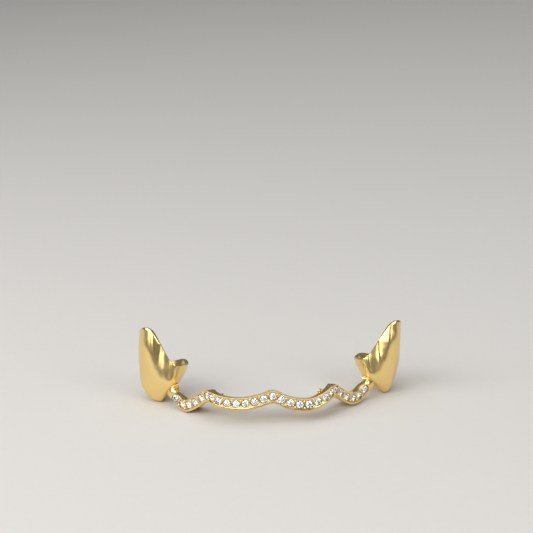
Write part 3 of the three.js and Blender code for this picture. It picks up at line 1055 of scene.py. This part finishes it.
# Heights and reaches in metres
def polished_metal(name, wave_height, scratch_height, smooth, hazy, wave_scale, hollow_shade_reach):
    material, tree = shader_material(name)
    if tree is None:
        return material
    finish = bpy.context.scene.grillz_finish
    shader = tree.nodes["Principled BSDF"]
    polish = placed_group(tree, hand_polish_group(), {
        "Wave scale": wave_scale, "Scratch scale": SCRATCH_SCALE, "Smooth": smooth, "Hazy": hazy,
    })
    # Painted shade: the hollows' mask darkens the base colour towards the shade colour and also
    # makes the gold rougher there
    hollow_shade = placed_group(tree, hollow_shade_group(), {"Reach": hollow_shade_reach, **HOLLOW_SHADE_SPAN})
    tone = blended(tree, hollow_shade.outputs["Mask"], (*finish.gold, 1.0), (*finish.gold_painted_shade, 1.0))
    tree.links.new(tone, shader.inputs["Base Color"])
    dull = maths(tree, "MULTIPLY", hollow_shade.outputs["Mask"], HOLLOW_ROUGHNESS)
    rough = maths(tree, "ADD", polish.outputs["Roughness"], dull)
    tree.links.new(rough, shader.inputs["Roughness"])
    waves = node(tree, "ShaderNodeBump", {
        "Height": polish.outputs["Waves"], "Distance": wave_height, "Strength": 1.0,
    })
    scratches = node(tree, "ShaderNodeBump", {
        "Height": polish.outputs["Scratches"], "Distance": scratch_height, "Strength": 1.0,
        "Normal": waves.outputs["Normal"],
    })
    tree.links.new(scratches.outputs["Normal"], shader.inputs["Normal"])
    shader.inputs["Metallic"].default_value = 1.0
    return material


def gold_material():
    return polished_metal(
        "polished gold", wave_height=0.00009, scratch_height=0.000004, smooth=0.17, hazy=0.26,
        wave_scale=260.0, hollow_shade_reach=0.0007,
    )


def bead_material():
    return polished_metal(
        "raised gold beads", wave_height=0.00002, scratch_height=0.000002, smooth=0.1, hazy=0.22,
        wave_scale=900.0, hollow_shade_reach=0.0003,
    )


def diamond_material():
    material, tree = shader_material("cut diamond")
    if tree is None:
        return material
    finish = bpy.context.scene.grillz_finish
    shader = tree.nodes["Principled BSDF"]
    place = object_place(tree)
    cloud = spread_of(tree, noise_of(tree, place, CLOUD_SCALE, CLOUD_DETAIL), *CLOUD_SPAN)
    tone = blended(tree, cloud, (*finish.diamond, 1.0), (*finish.diamond_cloud, 1.0))
    tree.links.new(tone, shader.inputs["Base Color"])
    lines = noise_of(tree, place, POLISHING_SCALE, POLISHING_DETAIL)
    rough = spread_of(tree, lines, *POLISHING_SPAN, *POLISHING_ROUGHNESS)
    tree.links.new(rough, shader.inputs["Roughness"])
    bump = node(tree, "ShaderNodeBump", {
        "Height": lines, "Distance": POLISHING_HEIGHT, "Strength": 1.0,
    })
    tree.links.new(bump.outputs["Normal"], shader.inputs["Normal"])
    shader.inputs["Metallic"].default_value = 0.0
    shader.inputs["Transmission Weight"].default_value = 1.0
    shader.inputs["IOR"].default_value = DIAMOND_IOR
    return material


def floor_material():
    material, tree = shader_material("pale studio floor")
    if tree is None:
        return material
    finish = bpy.context.scene.grillz_finish
    shader = tree.nodes["Principled BSDF"]
    paper = noise_of(tree, object_place(tree), PAPER_SCALE, PAPER_DETAIL)
    darker = [PAPER_SHADE * part for part in finish.floor]
    tone = blended(tree, paper, (*finish.floor, 1.0), (*darker, 1.0))
    tree.links.new(tone, shader.inputs["Base Color"])
    shader.inputs["Roughness"].default_value = PAPER_ROUGHNESS
    return material


# Soft lights: name, place, width and height in metres and power in watts
LIGHTS = (
    ("overhead softbox", (0.0, 0.25, 0.95), 1.2, 1.2, 5.2),
    ("key softbox", (-0.2, -0.42, 0.34), 0.5, 0.4, 1.7),
    ("left softbox", (-0.3, -0.1, 0.2), 0.26, 0.26, 0.75),
    ("right softbox", (0.3, -0.3, 0.24), 0.26, 0.26, 0.75),
)
LIT_POINT = Vector((0, 0, 0.005))


def soft_light(name, place, width, height, power):
    bpy.ops.object.light_add(type="AREA", location=place)
    lamp = active(name)
    lamp.data.shape = "RECTANGLE"
    lamp.data.size = width
    lamp.data.size_y = height
    lamp.data.energy = power
    lamp.rotation_euler = (LIT_POINT - Vector(place)).to_track_quat("-Z", "Y").to_euler()


class GRILLZ_OT_stage(bpy.types.Operator):
    """Lay the floor, hang the lights and set up the camera"""

    bl_idname = "grillz.stage"
    bl_label = "Stage"

    def execute(self, context):
        stage = context.scene.grillz_stage
        nothing_selected()
        bpy.ops.mesh.primitive_plane_add(size=stage.floor_size, location=(0, 0, 0))
        floor = active("studio_floor")
        floor.data.materials.append(floor_material())
        for light in LIGHTS:
            soft_light(*light)
        world = bpy.data.worlds.new("soft room")
        world.use_nodes = True
        background = world.node_tree.nodes["Background"]
        background.inputs["Color"].default_value = (*stage.room, 1.0)
        background.inputs["Strength"].default_value = stage.room_light
        context.scene.world = world
        context.scene.view_settings.view_transform = "Standard"
        bpy.ops.object.camera_add()
        camera = bpy.context.active_object
        camera.name = "studio camera"
        forward = Vector(stage.camera_aim).normalized()
        right = forward.cross(Vector(stage.camera_up)).normalized()
        up = right.cross(forward)
        turn = Matrix((right, up, -forward)).transposed().to_4x4()
        camera.matrix_world = Matrix.Translation(stage.camera_place) @ turn
        camera.data.lens = stage.lens
        camera.data.sensor_width = stage.sensor
        camera.data.clip_start = stage.near
        context.scene.camera = camera
        return {"FINISHED"}


OPERATORS = (GRILLZ_OT_casting, GRILLZ_OT_beads, GRILLZ_OT_stones, GRILLZ_OT_stage)


class GRILLZ_PT_panel(bpy.types.Panel):
    """The pieces of the grillz and its stage"""

    bl_idname = "GRILLZ_PT_panel"
    bl_label = "Grillz"
    bl_space_type = "VIEW_3D"
    bl_region_type = "UI"
    bl_category = "Grillz"

    def draw(self, context):
        column = self.layout.column()
        for operator in OPERATORS:
            column.operator(operator.bl_idname)


CLASSES = (*SETTINGS.values(), *OPERATORS, GRILLZ_PT_panel)


def register():
    for made in CLASSES:
        bpy.utils.register_class(made)
    for name, group in SETTINGS.items():
        setattr(bpy.types.Scene, name, PointerProperty(type=group))


def unregister():
    for name in SETTINGS:
        delattr(bpy.types.Scene, name)
    for made in reversed(CLASSES):
        bpy.utils.unregister_class(made)


def main():
    register()
    bpy.ops.grillz.stage()
    bpy.ops.grillz.casting()
    bpy.ops.grillz.beads()
    bpy.ops.grillz.stones()


if __name__ == "__main__":
    main()
